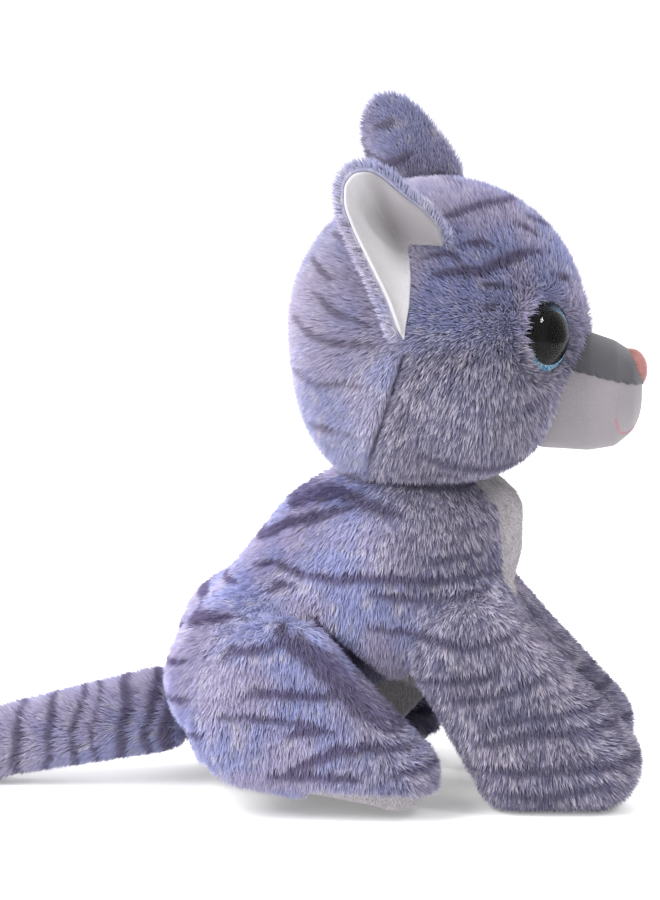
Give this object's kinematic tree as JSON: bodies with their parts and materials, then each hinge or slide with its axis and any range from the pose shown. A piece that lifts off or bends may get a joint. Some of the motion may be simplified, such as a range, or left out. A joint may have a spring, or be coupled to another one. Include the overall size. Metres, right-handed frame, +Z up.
{
  "type": "plush cat",
  "caption": "Seated striped plush cat with a round head, domed glitter eyes, a pale muzzle, cupped ears and a long tail; its limbs, head, ears and tail flex at their seams.",
  "frame": {"origin": "on the floor, midway between the tip of the nose and the tip of the tail, in the cat's middle plane", "axes": "+X is the way the cat looks, +Y is its left side, +Z is up"},
  "size_m": [0.282, 0.116, 0.2305],
  "materials": {
    "striped_plush": "matte",
    "frosted_plush": "matte",
    "white_plush": "matte",
    "white_velour": "matte",
    "grey_velour": "matte",
    "nose_velour": "matte",
    "mouth_thread": "satin",
    "stuffing": "matte",
    "pellet_bag": "matte",
    "pellets": "matte",
    "eye_dome": "gloss",
    "eye_pupil": "gloss",
    "eye_iris": "gloss",
    "eye_button": "gloss",
    "eye_washer": "matte"
  },
  "bodies": {
    "torso": {"body_cover_left": "frosted_plush", "body_cover_right": "frosted_plush", "chest_panel": "white_plush", "belly_panel": "white_plush", "body_stuffing": "stuffing", "pellet_bag": "pellet_bag", "seat_pellets": "pellets"},
    "neck": {"neck_stuffing": "stuffing"},
    "head": {"head_back_cover_left": "striped_plush", "head_back_cover_right": "striped_plush", "forehead_cover": "frosted_plush", "cheek_cover_left": "frosted_plush", "cheek_cover_right": "frosted_plush", "head_stuffing": "stuffing", "muzzle_cover": "white_velour", "nose_bridge": "grey_velour", "muzzle_stuffing": "stuffing", "nose": "nose_velour", "mouth_stitch": "mouth_thread", "eye_dome_left": "eye_dome", "eye_pupil_left": "eye_pupil", "eye_iris_left": "eye_iris", "eye_button_left": "eye_button", "eye_washer_left": "eye_washer", "eye_dome_right": "eye_dome", "eye_pupil_right": "eye_pupil", "eye_iris_right": "eye_iris", "eye_button_right": "eye_button", "eye_washer_right": "eye_washer"},
    "ear_left": {"ear_back_left": "striped_plush", "ear_lining_left": "white_velour"},
    "ear_right": {"ear_back_right": "striped_plush", "ear_lining_right": "white_velour"},
    "front_leg_left": {"front_leg_cover_left": "frosted_plush", "front_leg_stuffing_left": "stuffing"},
    "front_leg_right": {"front_leg_cover_right": "frosted_plush", "front_leg_stuffing_right": "stuffing"},
    "hind_leg_left": {"hind_leg_cover_left": "striped_plush", "hind_sole_left": "white_plush", "hind_leg_stuffing_left": "stuffing"},
    "hind_leg_right": {"hind_leg_cover_right": "striped_plush", "hind_sole_right": "white_plush", "hind_leg_stuffing_right": "stuffing"},
    "tail_root": {"tail_root_cover": "striped_plush", "tail_root_stuffing": "stuffing"},
    "tail_end": {"tail_end_cover": "striped_plush", "tail_end_stuffing": "stuffing"}
  },
  "joints": [
    {"name": "neck_turn", "type": "hinge", "parent": "torso", "child": "neck", "pos_m": [0.068, 0, 0.109], "axis": [0, 0, 1], "range_deg": [-25, 25], "stiffness_Nm_per_rad": 0.8},
    {"name": "head_nod", "type": "hinge", "parent": "neck", "child": "head", "pos_m": [0.068, 0, 0.109], "axis": [0, 1, 0], "range_deg": [-12, 12], "stiffness_Nm_per_rad": 1.5},
    {"name": "ear_left_fold", "type": "hinge", "parent": "head", "child": "ear_left", "pos_m": [0.072, 0.04056, 0.18224], "axis": [-0.5668, 0.3684, -0.7369], "range_deg": [-8, 15], "stiffness_Nm_per_rad": 0.03},
    {"name": "ear_right_fold", "type": "hinge", "parent": "head", "child": "ear_right", "pos_m": [0.0668, -0.04351, 0.1755], "axis": [0.3916, 0.3168, 0.8639], "range_deg": [-8, 15], "stiffness_Nm_per_rad": 0.03},
    {"name": "front_leg_left_swing", "type": "hinge", "parent": "torso", "child": "front_leg_left", "pos_m": [0.084, 0.01, 0.053], "axis": [0, -1, 0], "range_deg": [0, 25], "stiffness_Nm_per_rad": 0.6},
    {"name": "front_leg_right_swing", "type": "hinge", "parent": "torso", "child": "front_leg_right", "pos_m": [0.084, -0.01, 0.053], "axis": [0, -1, 0], "range_deg": [0, 25], "stiffness_Nm_per_rad": 0.6},
    {"name": "hind_leg_left_splay", "type": "hinge", "parent": "torso", "child": "hind_leg_left", "pos_m": [-0.0095, 0.028, 0.038], "axis": [0, 0, 1], "range_deg": [0, 15], "stiffness_Nm_per_rad": 0.6},
    {"name": "hind_leg_right_splay", "type": "hinge", "parent": "torso", "child": "hind_leg_right", "pos_m": [-0.0095, -0.028, 0.038], "axis": [0, 0, -1], "range_deg": [0, 15], "stiffness_Nm_per_rad": 0.6},
    {"name": "tail_lift", "type": "hinge", "parent": "torso", "child": "tail_root", "pos_m": [-0.0245, 0, 0.0255], "axis": [0, 1, 0], "range_deg": [0, 25], "stiffness_Nm_per_rad": 0.3},
    {"name": "tail_wag", "type": "hinge", "parent": "tail_root", "child": "tail_end", "pos_m": [-0.084, 0, 0.0129], "axis": [0, 0, 1], "range_deg": [-25, 25], "stiffness_Nm_per_rad": 0.15}
  ]
}
